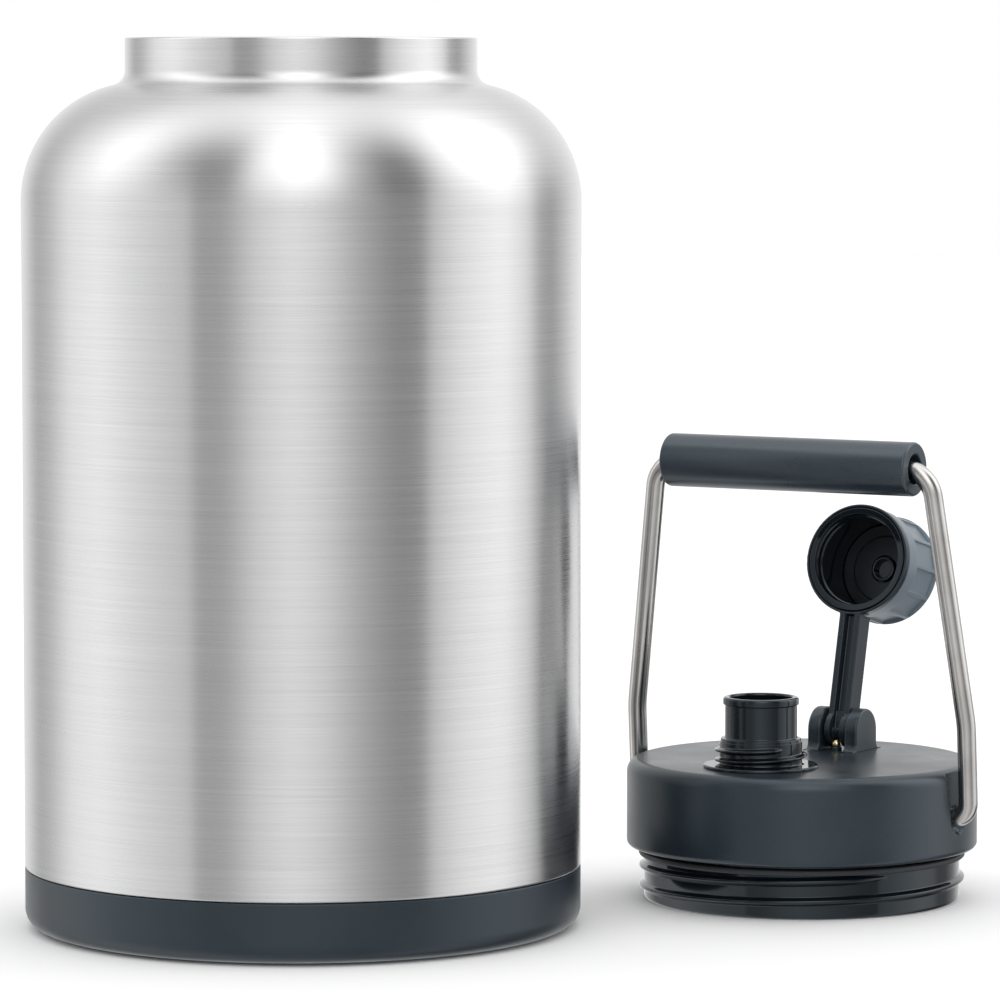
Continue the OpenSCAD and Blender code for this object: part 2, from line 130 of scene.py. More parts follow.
# ---------------------------------------------------------------- meshes
def lathe(outline, segments=192, closed=True, angles=None):
    """Vertices and faces of a half section turned about Z. A point on the axis becomes a pole."""
    angles = angles or [2 * math.pi * i / segments for i in range(segments)]
    count = len(angles)
    circle = [(math.cos(a), math.sin(a)) for a in angles]
    verts, rows = [], []
    for r, z in outline:
        if r < 1e-6:
            rows.append([len(verts)] * count)
            verts.append((0.0, 0.0, z))
        else:
            rows.append(list(range(len(verts), len(verts) + count)))
            verts += [(r * c, r * s, z) for c, s in circle]
    faces = []
    pairs = list(zip(rows, rows[1:])) + ([(rows[-1], rows[0])] if closed else [])
    for low, high in pairs:
        if low[0] == low[1] and high[0] == high[1]:
            continue
        for i in range(count):
            j = (i + 1) % count
            quad = [low[i], low[j], high[j], high[i]]
            faces.append([v for k, v in enumerate(quad) if v != quad[k - 1]])
    return verts, faces


def ridge(r_wall, r_crest, z, pitch, start, end, base, tip, fade=18, step=2.5):
    """A thread ridge with a rounded crest, filleted feet and tapering ends, sunk into its wall."""
    out = 1 if r_crest > r_wall else -1
    high = abs(r_crest - r_wall)
    foot, n = 0.35, int((end - start) / step)
    # Half of the section, from the foot to the crest: share of the height, distance along the axis
    side = [(-0.5, -(base / 2 + foot)), (0.0, -(base / 2 + foot)), (0.04, -(base / 2 + foot * 0.5)),
            (0.16, -base / 2), (0.45, -(base * 0.6 + tip * 0.4) / 2), (0.78, -(base * 0.2 + tip * 0.8) / 2),
            (0.93, -tip / 2), (1.0, -tip / 4)]
    section = side + [(1.0, 0.0)] + [(h, -w) for h, w in reversed(side)]
    verts, faces, count = [], [], len(section)
    for i in range(n + 1):
        a = start + (end - start) * i / n
        g = min(1.0, min(a - start, end - a) / fade)
        g = math.sin(max(g, 0.0) * math.pi / 2)
        c, s = math.cos(math.radians(a)), math.sin(math.radians(a))
        level = z + pitch * (a - start) / 360
        for h, w in section:
            r = r_wall + out * (h * high * g if h > 0 else h - 0.25 * (1 - g))
            verts.append((r * c, r * s, level + w * (0.35 + 0.65 * g)))
    for i in range(n):
        for j in range(count):
            k = (j + 1) % count
            a, b = i * count, (i + 1) * count
            faces.append([a + j, a + k, b + k, b + j])
    faces += [list(range(count)), list(range(n * count, (n + 1) * count))]
    return verts, faces


def joined(*parts):
    """Several (vertices, faces) as one."""
    verts, faces = [], []
    for v, f in parts:
        faces += [[i + len(verts) for i in face] for face in f]
        verts += v
    return verts, faces


def piece(name, shape, place, material, body, slot, *nodes, sharp=SHARP):
    """A new object from a shape in millimetres, riding on a body in place of CAD nodes.
    Its place goes into its mesh, as a CAD node's does."""
    verts, faces = shape
    mesh = bpy.data.meshes.new(name)
    mesh.from_pydata([(x * MM, y * MM, z * MM) for x, y, z in verts], [], faces)
    mesh.transform(place)
    obj = bpy.data.objects.new(name, mesh)
    bpy.context.scene.collection.objects.link(obj)
    dress(obj, sharp)
    mesh.materials.append(material)
    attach(obj, body)
    if nodes:
        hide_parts(*nodes)
    return obj


def dress(obj, sharp):
    """Faces outwards, smooth, with a hard edge where two faces meet at more than sharp degrees."""
    bm = bmesh.new()
    bm.from_mesh(obj.data)
    bmesh.ops.recalc_face_normals(bm, faces=bm.faces)
    limit = math.radians(sharp)
    for f in bm.faces:
        f.smooth = True
    for e in bm.edges:
        e.smooth = len(e.link_faces) == 2 and e.calc_face_angle(0) < limit
    bm.to_mesh(obj.data)
    bm.free()


def bake(obj):
    """Applies the object's modifiers to its mesh."""
    dg = bpy.context.evaluated_depsgraph_get()
    made = bpy.data.meshes.new_from_object(obj.evaluated_get(dg), depsgraph=dg)
    obj.modifiers.clear()
    old, obj.data = obj.data, made
    bpy.data.meshes.remove(old)


def cut(obj, shape, place, sharp=SHARP):
    """Takes a shape away from an object."""
    verts, faces = shape
    mesh = bpy.data.meshes.new("cutter")
    mesh.from_pydata([(x * MM, y * MM, z * MM) for x, y, z in verts], [], faces)
    tool = bpy.data.objects.new("cutter", mesh)
    bpy.context.scene.collection.objects.link(tool)
    dress(tool, SHARP)
    tool.matrix_world = place
    bpy.context.view_layer.update()
    m = obj.modifiers.new("cut", "BOOLEAN")
    m.operation, m.solver, m.object = "DIFFERENCE", "EXACT", tool
    bake(obj)
    bpy.data.objects.remove(tool)
    dress(obj, sharp)


def rod(r, z0, z1, segments=64):
    """A solid cylinder on Z."""
    return lathe([(0, z0), (r, z0), (r, z1), (0, z1)], segments, closed=False)


def plate(outline, thickness, edge=0.4, n=4):
    """A flat outline in XY made into a plate along Z, with rounded edges."""
    count = len(outline)
    normals = []
    for i, p in enumerate(outline):
        a, b = Vector(outline[i - 1]), Vector(outline[(i + 1) % count])
        t = (b - a).normalized()
        normals.append((t.y, -t.x))
    layers = []
    for k in range(n + 1):
        w = math.pi / 2 * k / n
        layers.append((edge * (1 - math.sin(w)), -thickness / 2 + edge * (1 - math.cos(w))))
    layers += [(inset, -z) for inset, z in reversed(layers)]
    verts, faces = [], []
    for inset, z in layers:
        verts += [(p[0] - q[0] * inset, p[1] - q[1] * inset, z) for p, q in zip(outline, normals)]
    for k in range(len(layers) - 1):
        for i in range(count):
            j = (i + 1) % count
            faces.append([k * count + i, k * count + j, (k + 1) * count + j, (k + 1) * count + i])
    faces.append(list(range(count - 1, -1, -1)))
    faces.append(list(range((len(layers) - 1) * count, len(layers) * count)))
    return verts, faces


def smoothstep(lo, hi, x):
    """0 below lo, 1 above hi, and a soft rise between."""
    t = min(1.0, max(0.0, (x - lo) / (hi - lo)))
    return t * t * (3 - 2 * t)


# ---------------------------------------------------------------- materials
def node(tree, kind, inputs=None, **props):
    """A shader node, with a link or a constant for each input."""
    n = tree.nodes.new(kind)
    for k, v in props.items():
        setattr(n, k, v)
    for k, v in (inputs or {}).items():
        if isinstance(v, bpy.types.NodeSocket):
            tree.links.new(v, n.inputs[k])
        else:
            n.inputs[k].default_value = v
    return n


def math_node(tree, operation, a, b=0.0):
    return node(tree, "ShaderNodeMath", {0: a, 1: b}, operation=operation).outputs[0]


def blend(tree, a, b, share):
    """A share of one value, and the rest from another."""
    return math_node(tree, "ADD", math_node(tree, "MULTIPLY", a, share),
                     math_node(tree, "MULTIPLY", b, 1 - share))


def spread(tree, value, lo, hi, from_lo=0.3, from_hi=0.7):
    """Stretches a noise value over a range."""
    return node(tree, "ShaderNodeMapRange", {"Value": value, "From Min": from_lo, "From Max": from_hi,
                                             "To Min": lo, "To Max": hi}).outputs[0]


def noise(tree, vector, scale, detail=2.0, roughness=0.5):
    return node(tree, "ShaderNodeTexNoise", {"Vector": vector, "Scale": scale, "Detail": detail,
                                             "Roughness": roughness}).outputs["Fac"]


def tint(tree, value, dark, light):
    """Two colours mixed by a value."""
    m = node(tree, "ShaderNodeMix", {"Factor": value}, data_type="RGBA")
    m.inputs["A"].default_value = (*dark, 1)
    m.inputs["B"].default_value = (*light, 1)
    return m.outputs["Result"]


def material(name, **sockets):
    """A new material with its tree, its shader and the object's own coordinates."""
    m = bpy.data.materials.new(name)
    m.use_nodes = True
    tree = m.node_tree
    shader = tree.nodes["Principled BSDF"]
    for k, v in sockets.items():
        shader.inputs[k.replace("_", " ")].default_value = v
    place = tree.nodes.new("ShaderNodeTexCoord").outputs["Object"]
    return m, tree, shader, place


def bump(tree, shader, height, distance, strength=1.0, normal=None):
    n = node(tree, "ShaderNodeBump", {"Height": height, "Distance": distance, "Strength": strength})
    if normal is not None:
        tree.links.new(normal, n.inputs["Normal"])
    tree.links.new(n.outputs["Normal"], shader.inputs["Normal"])
    return n.outputs["Normal"]


def brushed_steel(name, colour, anisotropy, rough):
    """Steel brushed round its axis: fine rings, longer scratches and faint handling marks."""
    m, tree, shader, place = material(name, Metallic=1.0, Anisotropic=anisotropy,
                                      Anisotropic_Rotation=0.25)
    xyz = node(tree, "ShaderNodeSeparateXYZ", {0: place})
    flat = node(tree, "ShaderNodeCombineXYZ", {0: xyz.outputs[0], 1: xyz.outputs[1]})
    r = node(tree, "ShaderNodeVectorMath", {0: flat.outputs[0]}, operation="LENGTH").outputs["Value"]
    along = math_node(tree, "SUBTRACT", xyz.outputs[2], r)

    def streaks(across, length, detail):
        v = node(tree, "ShaderNodeCombineXYZ", {
            0: math_node(tree, "MULTIPLY", xyz.outputs[0], length),
            1: math_node(tree, "MULTIPLY", xyz.outputs[1], length),
            2: math_node(tree, "MULTIPLY", along, across)})
        return noise(tree, v.outputs[0], 1.0, detail, 0.6)

    fine = streaks(5200.0, 22.0, 2.0)
    broad = streaks(900.0, 9.0, 3.0)
    cloud = noise(tree, place, 14.0, 2.0)
    grain = blend(tree, fine, broad, 0.65)
    tree.links.new(tint(tree, spread(tree, grain, 0, 1), [c * 0.90 for c in colour],
                        [min(1, c * 1.07) for c in colour]), shader.inputs["Base Color"])
    worn = blend(tree, grain, cloud, 0.75)
    tree.links.new(spread(tree, worn, *rough), shader.inputs["Roughness"])
    bump(tree, shader, grain, 0.00002, 0.35)
    tangent = node(tree, "ShaderNodeTangent", direction_type="RADIAL", axis="Z")
    tree.links.new(tangent.outputs[0], shader.inputs["Tangent"])
    return m


def moulded(name, dark, light, rough, grain=2600.0, depth=0.00004, specular=0.5, metallic=0.0):
    """A fine grain with soft tone changes and faint rub marks: moulded plastic, or small metal parts."""
    m, tree, shader, place = material(name, Specular_IOR_Level=specular, Metallic=metallic,
                                      Specular_Tint=(0.80, 0.92, 1.0, 1.0))
    pits = noise(tree, place, grain, 2.0, 0.6)
    cloud = noise(tree, place, 38.0, 3.0, 0.55)
    stretched = node(tree, "ShaderNodeMapping", {"Vector": place, "Scale": (60.0, 60.0, 900.0),
                                                 "Rotation": (0.5, 0.3, 0.0)}).outputs[0]
    rubs = noise(tree, stretched, 1.0, 3.0, 0.6)
    tone = blend(tree, cloud, pits, 0.7)
    tree.links.new(tint(tree, spread(tree, tone, 0, 1), dark, light), shader.inputs["Base Color"])
    tree.links.new(spread(tree, blend(tree, cloud, rubs, 0.85), *rough), shader.inputs["Roughness"])
    bump(tree, shader, pits, depth, 0.6)
    return m


def wire_steel(name):
    """Drawn wire, tumbled to a satin finish."""
    m, tree, shader, place = material(name, Metallic=1.0)
    fine = noise(tree, place, 2400.0, 2.0, 0.6)
    cloud = noise(tree, place, 60.0, 3.0)
    tree.links.new(tint(tree, spread(tree, cloud, 0, 1), (0.45, 0.44, 0.425), (0.58, 0.567, 0.548)),
                   shader.inputs["Base Color"])
    tree.links.new(spread(tree, blend(tree, fine, cloud, 0.6), 0.15, 0.26), shader.inputs["Roughness"])
    bump(tree, shader, fine, 0.00002, 0.4)
    return m


def rubber_rings(name):
    """Moulded rubber with fine rings for grip."""
    m, tree, shader, place = material(name, Specular_IOR_Level=0.35)
    wave = node(tree, "ShaderNodeTexWave", {"Vector": place, "Scale": 160.0, "Distortion": 0.0},
                wave_type="RINGS", rings_direction="Z")
    pits = noise(tree, place, 2000.0, 2.0)
    tree.links.new(tint(tree, spread(tree, pits, 0, 1), (0.018, 0.018, 0.019), (0.032, 0.032, 0.034)),
                   shader.inputs["Base Color"])
    tree.links.new(spread(tree, pits, 0.55, 0.75), shader.inputs["Roughness"])
    under = bump(tree, shader, wave.outputs["Fac"], 0.0004, 0.8)
    bump(tree, shader, pits, 0.00005, 0.6, under)
    return m


OUTER_STEEL = brushed_steel("outer_steel", (0.60, 0.60, 0.605), 0.94, (0.24, 0.33))
INNER_STEEL = brushed_steel("inner_steel", (0.56, 0.56, 0.57), 0.6, (0.30, 0.42))
PRESSED_STEEL = brushed_steel("pressed_steel", (0.52, 0.52, 0.53), 0.3, (0.35, 0.5))
WIRE = wire_steel("wire_steel")
PAD_RUBBER = rubber_rings("pad_rubber")
# Darkest and lightest colour, least and most roughness, then the grain's scale and depth
LID_BLACK = moulded("lid_black", (0.009, 0.0145, 0.020), (0.0155, 0.023, 0.030), (0.26, 0.36),
                    1900.0, 0.00006, 0.62)
BASE_BLACK = moulded("base_black", (0.009, 0.015, 0.021), (0.015, 0.022, 0.030), (0.30, 0.41))
ARM_BLACK = moulded("arm_black", (0.009, 0.0135, 0.019), (0.014, 0.020, 0.027), (0.25, 0.36),
                    depth=0.00002)
GLOSS_BLACK = moulded("gloss_black", (0.0030, 0.0048, 0.0070), (0.0050, 0.0075, 0.0105), (0.05, 0.10),
                      900.0, 0.000002)
GRIP_BLACK = moulded("grip_black", (0.012, 0.018, 0.025), (0.020, 0.028, 0.037), (0.24, 0.33),
                     3000.0, 0.00004, 0.85)
CAP_GREY = moulded("cap_grey", (0.112, 0.140, 0.165), (0.146, 0.176, 0.205), (0.26, 0.37),
                   2600.0, 0.00002)
GASKET = moulded("gasket_rubber", (0.016, 0.016, 0.017), (0.026, 0.026, 0.028), (0.45, 0.62),
                 1800.0, 0.00003)
SILICONE = moulded("silicone", (0.010, 0.0115, 0.014), (0.017, 0.019, 0.023), (0.26, 0.40),
                   1500.0, 0.00002)
FOAM = moulded("foam", (0.70, 0.67, 0.55), (0.82, 0.80, 0.70), (0.80, 0.95), 900.0, 0.0003, 0.2)
BRASS = moulded("brass", (0.74, 0.58, 0.33), (0.84, 0.69, 0.44), (0.20, 0.32), 1500.0, 0.00001,
                metallic=1.0)
PIN_STEEL = moulded("pin_steel", (0.46, 0.46, 0.47), (0.56, 0.56, 0.57), (0.22, 0.36), 2200.0, 0.00001,
                    metallic=1.0)


# ---------------------------------------------------------------- jug
def vessel(s, n, f, steps=24):
    """Half section of a shouldered vessel from the top of its body to the foot of its neck."""
    span, dx = s + f, n + f - SHOULDER_X
    dz = math.sqrt(span * span - dx * dx)
    lean = math.degrees(math.atan2(dz, dx))
    top = arc(SHOULDER_X, SHOULDER_Z, s, 0, lean, steps)
    fillet = arc(n + f, SHOULDER_Z + dz, f, 180 + lean, 180, max(8, steps // 2))
    return top + fillet[1:]


def outer_shell():
    """The body's steel wall, from its step behind the base cup to the rolled rim."""
    t, roll, lip = SHELL_WALL, 0.7, 0.6
    outside = ([(STEP_R, FLOOR_Z), (STEP_R, BASE_H), (BODY_R - roll, BASE_H)]
               + arc(BODY_R - roll, BASE_H + roll, roll, -90, 0, 6)
               + vessel(SHOULDER_R, NECK_R, NECK_FILLET, 40)
               + arc(NECK_R - lip, RIM_Z - lip, lip, 0, 90, 8) + [(NECK_R - t, RIM_Z)])
    inside = ([(STEP_R - t, FLOOR_Z), (STEP_R - t, BASE_H + t), (BODY_R - t, BASE_H + t)]
              + vessel(SHOULDER_R - t, NECK_R - t, NECK_FILLET + t, 12))
    outline = supported(outside + inside[::-1])
    piece("body_steel", lathe(outline, 288), JUG, OUTER_STEEL, "jug", "brushed_outer_steel", "outer_shell")


def inner_liner():
    """The inner bottle, with the mouth's thread inside the neck."""
    r = BODY_R - SHELL_WALL - VACUUM_GAP
    corner, floor, fillet, t = 20.0, 14.0, 12.0, LINER_WALL
    s, n = r - SHOULDER_X, NECK_R - SHELL_WALL
    outside = ([(0, floor)] + arc(r - corner, floor + corner, corner, -90, 0, 10)
               + vessel(s, n, fillet) + [(n, RIM_Z - 0.3)])
    inside = ([(0, floor + t)] + arc(r - corner, floor + corner, corner - t, -90, 0, 10)
              + vessel(s - t, n - t, fillet + t) + [(n - t, RIM_Z - 0.35)])
    rim = arc(n - t / 2, RIM_Z - t / 2, t / 2, 0, 180, 6)
    outline = supported(outside + rim + inside[::-1], closed=False)
    thread = ridge(n - t + 0.02, 49.2, RIM_Z - 10, MOUTH_PITCH, 40, 400, 2.3, 0.9)
    piece("inner_bottle", joined(lathe(outline, 240, closed=False), thread), JUG, INNER_STEEL, "jug",
          "inner_steel", "inner_liner")


def base():
    """The plastic cup round the foot, and the rubber pad under it."""
    top = BASE_H - 0.15
    cup = rounded([(PAD_R + 0.1, 0.6, 0.3), (BODY_R, 0.6, BASE_EDGE), (BODY_R, top, 0.5), (STEP_R, top, 0.1),
                   (STEP_R, FLOOR_Z), (60, FLOOR_Z), (60, PAD_H), (PAD_R + 0.1, PAD_H)], n=12)
    piece("base_shell", lathe(supported(cup), 288), JUG, BASE_BLACK, "jug", "base_black", "base_cup")
    pad = rounded([(0, 0), (PAD_R, 0, 0.6), (PAD_R, PAD_H), (0, PAD_H)], closed=False)
    piece("foot_pad", lathe(supported(pad, closed=False), 192, closed=False), JUG, PAD_RUBBER, "jug",
          "rubber_black", "base_pad")


# ---------------------------------------------------------------- lid
def slot_bearings():
    """Bearings of the cap's columns, in radians: close together across the two slots for the bail."""
    angles = []
    for middle in (0.0, 180.0):
        angles += [middle - 17 + 0.34 * i for i in range(101)]
        angles += [middle + 17.5 + 145 * i / 97 for i in range(98)]
    return [math.radians(a) for a in angles]


def slotted(verts):
    """Presses the two slots for the bail's legs into the cap's side. Their sides flare upwards from a
    round foot, where a shallow dimple takes the wire."""
    flat, narrow, wide = CAP_R - 1.6, 4.7, 7.0
    rise, dimple = LID_TOP - PIVOT_Z + 1, 0.5
    shaped = []
    for x, y, z in verts:
        out, up = abs(x), z - PIVOT_Z
        if out > flat and math.hypot(x, y) > 45:
            if up > 0:
                inside = (narrow + (wide - narrow) * up / rise - abs(y)) * 0.99
            else:
                inside = narrow - math.hypot(y, up)
            out += (flat - out) * smoothstep(-0.22, 0.22, inside)
            out -= dimple * (1 - smoothstep(3.1, 3.7, math.hypot(y, up)))
        shaped.append((math.copysign(out, x), y, z))
    return shaped


def lid_cap():
    """The lid's wide cap, with its slots, the hole for the spout and the seat for the detent ball."""
    foot_edge, foot_r, skirt_r, ceiling = 1.7, 47.0, 50.7, LID_TOP - 3.5
    side = ([(foot_r, CAP_Z), (50.0, CAP_Z)]
            + arc(CAP_R - foot_edge, CAP_Z + foot_edge, foot_edge, -90, 0, 8)
            + [(CAP_R, CAP_Z + foot_edge + 0.36 * i) for i in range(1, 58)]
            + arc(CAP_R - CAP_EDGE, LID_TOP - CAP_EDGE, CAP_EDGE, 0, 90, 20)
            + [(48.5, LID_TOP), (40, LID_TOP), (20, LID_TOP), (0, LID_TOP)])
    under = [(foot_r, CAP_Z + 3), (skirt_r, CAP_Z + 3), (skirt_r, ceiling), (0, ceiling)]
    angles = slot_bearings()
    verts, faces = lathe(side, closed=False, angles=angles)
    shape = joined((slotted(verts), faces), lathe(under, closed=False, angles=angles))
    first, count = len(verts), len(angles)
    for i in range(count):
        j = (i + 1) % count
        shape[1].append([i, j, first + j, first + i])
    cap = piece("lid_cap_shell", shape, LID, LID_BLACK, "lid", "lid_black", "lid_cap", sharp=SHARP_CUT)
    cut(cap, rod(SPOUT_TUBE_R + 0.2, CAP_Z - 5, LID_TOP + 5, 96), SPOUT, SHARP_CUT)
    hole, seat = BALL_R + 0.02, BALL_R + 0.35
    ball = LID @ shift(0, REACH - BALL_AHEAD, 0)
    cut(cap, rod(hole, LID_TOP - 2.4, LID_TOP + 2, 32), ball, SHARP_CUT)
    boss = supported(rounded([(hole, LID_TOP - 0.5), (seat, LID_TOP - 0.5), (seat, LID_TOP + 1, 0.12),
                              (hole, LID_TOP + 1, 0.08)]))
    piece("ball_seat", lathe(boss, 48), ball, LID_BLACK, "lid", "lid_black")


def hinge_ears():
    """Two ears with round tops about the pin and flared feet."""
    r, flare = 7.0, 2.5
    half = arc(0, 0, r, 0, 90, 24)
    foot = [(r + flare - flare * math.sin(a), flare - PIN_H - flare * math.cos(a))
            for a in [math.radians(90 * i / 10) for i in range(11)]]
    right = [(r + flare, -PIN_H - 0.6)] + foot + half
    outline = right + [(-x, y) for x, y in reversed(right[:-1])]
    middle = (EAR_GAP + EAR_T) / 2
    for side, name in ((-1, "left"), (1, "right")):
        place = LID @ shift(side * middle, REACH, PIN_Z)
        ear = piece("hinge_ear_" + name, plate(outline, EAR_T, 0.8), place @ turn(90, "Z") @ turn(90, "X"),
                    LID_BLACK, "lid", "lid_black", sharp=SHARP_CUT)
        hole = (-4, 4) if side < 0 else (-4, 0.8)
        cut(ear, rod(PIN_R + 0.05, *hole, 48), place @ turn(90, "Y"), SHARP_CUT)
    low, high = 0.4 - EAR_GAP / 2 - EAR_T, EAR_GAP / 2 + 2.9
    pin = rounded([(0, low), (PIN_R, low, 0.35), (PIN_R, high, 0.2), (0, high)], closed=False)
    piece("hinge_pin_steel", lathe(supported(pin, closed=False), 48, closed=False),
          LID @ shift(0, REACH, PIN_Z) @ turn(90, "Y"), PIN_STEEL, "lid", "pin_steel", "hinge_pin")


def lid_plug():
    """The threaded plug under the cap, and the seal in the groove at its top."""
    wall, floor, groove_r, groove_z, groove_top = 45.6, 2.4, 47.2, 13.3, 15.3
    outline = rounded([(0, 0), (PLUG_R, 0, 1.2), (PLUG_R, groove_z, 0.12), (groove_r, groove_z),
                       (groove_r, groove_top), (PLUG_R, groove_top, 0.12), (PLUG_R, CAP_Z), (47, CAP_Z),
                       (47, CAP_Z + 3), (wall, CAP_Z + 3), (wall, floor), (0, floor)], closed=False)
    thread = ridge(PLUG_R - 0.02, PLUG_CREST, 2.2, MOUTH_PITCH, 100, 690, 2.4, 0.9)
    shape = lathe(supported(outline, closed=False), 240, closed=False)
    plug = piece("lid_plug_moulding", shape, LID, GLOSS_BLACK, "lid", "gloss_black", "lid_plug")
    cut(plug, rod(SPOUT_TUBE_R + 0.05, -5, 9, 96), SPOUT)
    piece("lid_plug_thread", thread, LID, GLOSS_BLACK, "lid", "gloss_black")
    inner, outer, low, high = 47.3, 50.0, groove_z + 0.04, groove_top - 0.04
    ring = rounded([(inner, low), (outer, low, 0.7), (outer, high, 0.7), (inner, high)])
    piece("lid_seal", lathe(supported(ring), 240), LID, GASKET, "lid_carrier", "rubber_black", "lid_gasket")


def spout():
    """The spout's tube, from the plug's floor to its lip, with a collar and a thread on the lid's top."""
    z = LID_TOP
    collar_r, collar_z = 17.4, z + 1
    thread_r, step_r, lip_r = 12.5, 12.2, 11.5
    thread_z, step_z, lip_z, top_z = z + 8, z + 9, z + SPOUT_H - 2.3, z + SPOUT_H
    outline = rounded([(SPOUT_BORE, 0, 0.4), (SPOUT_TUBE_R, 0, 0.4), (SPOUT_TUBE_R, z), (collar_r, z, 0.1),
                       (collar_r, collar_z, 0.5), (thread_r, collar_z, 0.7), (thread_r, thread_z, 0.15),
                       (step_r, thread_z, 0.1), (step_r, step_z, 0.35), (SPOUT_R, step_z, 0.5),
                       (SPOUT_R, lip_z, 0.35), (lip_r, lip_z, 0.25), (lip_r, top_z, 0.9),
                       (SPOUT_BORE, top_z, 0.7)], n=7)
    thread = ridge(thread_r - 0.02, 14.0, z + 1.8, SPOUT_PITCH, 150, 690, 1.6, 0.6)
    piece("spout_tube", joined(lathe(supported(outline), 160), thread), SPOUT, GLOSS_BLACK, "lid",
          "gloss_black", "spout")


# ---------------------------------------------------------------- arm and spout cap
def cap_arm():
    """The arm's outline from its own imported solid, remeshed finely so that its edges are soft."""
    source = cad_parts["cap_arm"]
    mesh = source.data.copy()
    obj = bpy.data.objects.new("arm_moulding", mesh)
    bpy.context.scene.collection.objects.link(obj)
    mesh.transform(ARM.inverted())
    bm = bmesh.new()
    bm.from_mesh(mesh)
    bmesh.ops.remove_doubles(bm, verts=bm.verts, dist=1e-6)
    bm.to_mesh(mesh)
    bm.free()
    m = obj.modifiers.new("fine", "REMESH")
    m.mode, m.voxel_size = "VOXEL", 0.22 * MM
    m = obj.modifiers.new("soft", "SMOOTH")
    m.factor, m.iterations = 0.5, 6
    bake(obj)
    obj.data.transform(ARM)
    for p in obj.data.polygons:
        p.use_smooth = True
    obj.data.materials.clear()
    obj.data.materials.append(ARM_BLACK)
    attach(obj, "arm")
    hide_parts("cap_arm")


def faceted(verts, shell_r, z0, z1):
    """Presses shallow flats into the cap's side, between two levels, and leaves ribs between them."""
    flats, depth, rib = 12, 0.6, 0.65
    pitch = 2 * math.pi / flats
    level = shell_r * math.cos(pitch / 2) - depth
    half = shell_r * math.sin(pitch / 2) - rib
    shaped = []
    for x, y, z in verts:
        if math.hypot(x, y) > shell_r - 0.7 and z0 - 1 < z < z1 + 0.6:
            a = math.atan2(y, x)
            middle = (math.floor(a / pitch) + 0.5) * pitch
            c, s = math.cos(middle), math.sin(middle)
            out, across = x * c + y * s, y * c - x * s
            inside = min(half - abs(across), z - z0, z1 - z)
            if out > level:
                out += (level - out) * smoothstep(-0.14, 0.14, inside)
            x, y = out * c - across * s, out * s + across * c
        shaped.append((x, y, z))
    return shaped


def spout_cap():
    """The cap's grey shell, the black cup inside it with its thread and boss, and the seal in the cup."""
    mouth, front, band, end, back, ceiling, seal = -3.5, -0.7, 5.0, 20.1, 18.6, 17.1, 15.9
    shell_r, cup_r, bore, row = 17.2, 15.5, 14.3, 0.22
    edge = rounded([(cup_r, front), (shell_r, front, 0.35), (shell_r, end, 1.3), (0, end), (0, back),
                    (cup_r, back)], closed=True, n=8)
    fine = []
    for i, p in enumerate(edge):
        q = edge[(i + 1) % len(edge)]
        rise = abs(q[1] - p[1])
        fine.append(p)
        if min(p[0], q[0]) > shell_r - 0.01 and rise > 5:
            fine += [(shell_r, p[1] + row * k) for k in range(1, int(rise / row))]
    verts, faces = lathe(supported(fine), 576)
    piece("spout_cap_outer", (faceted(verts, shell_r, band, end - 1.6), faces), SPOUT_CAP, CAP_GREY,
          "spout_cap", "cap_grey", "spout_cap_shell", sharp=SHARP_CUT)
    lip_r, lip_z, wall_r = 16.3, mouth + 0.8, 15.4
    cup = rounded([(bore, mouth, 0.25), (lip_r, mouth, 0.3), (lip_r, lip_z, 0.3), (wall_r, lip_z, 0.2),
                   (wall_r, back), (0, back), (0, ceiling), (bore, ceiling, 0.6)], n=6)
    thread = ridge(bore + 0.02, 13.6, -2.7, SPOUT_PITCH, 150, 650, 1.4, 0.5)
    piece("spout_cap_cup", joined(lathe(supported(cup), 160), thread), SPOUT_CAP, GLOSS_BLACK, "spout_cap",
          "gloss_black", "spout_cap_liner")
    boss = rounded([(3, ceiling - 2, 0.2), (4, ceiling - 2, 0.3), (4, ceiling + 0.4), (3, ceiling + 0.4)])
    piece("spout_cap_boss", lathe(supported(boss), 64), SPOUT_CAP, GLOSS_BLACK, "spout_cap", "gloss_black")
    disc = rounded([(4.3, seal, 0.3), (10.2, seal, 0.4), (10.6, seal + 0.3, 0.4), (14.2, seal + 0.3, 0.3),
                    (14.2, ceiling), (4.3, ceiling)])
    piece("spout_seal_disc", lathe(supported(disc), 128), SPOUT_CAP, SILICONE, "spout_cap", "silicone",
          "spout_cap_seal")


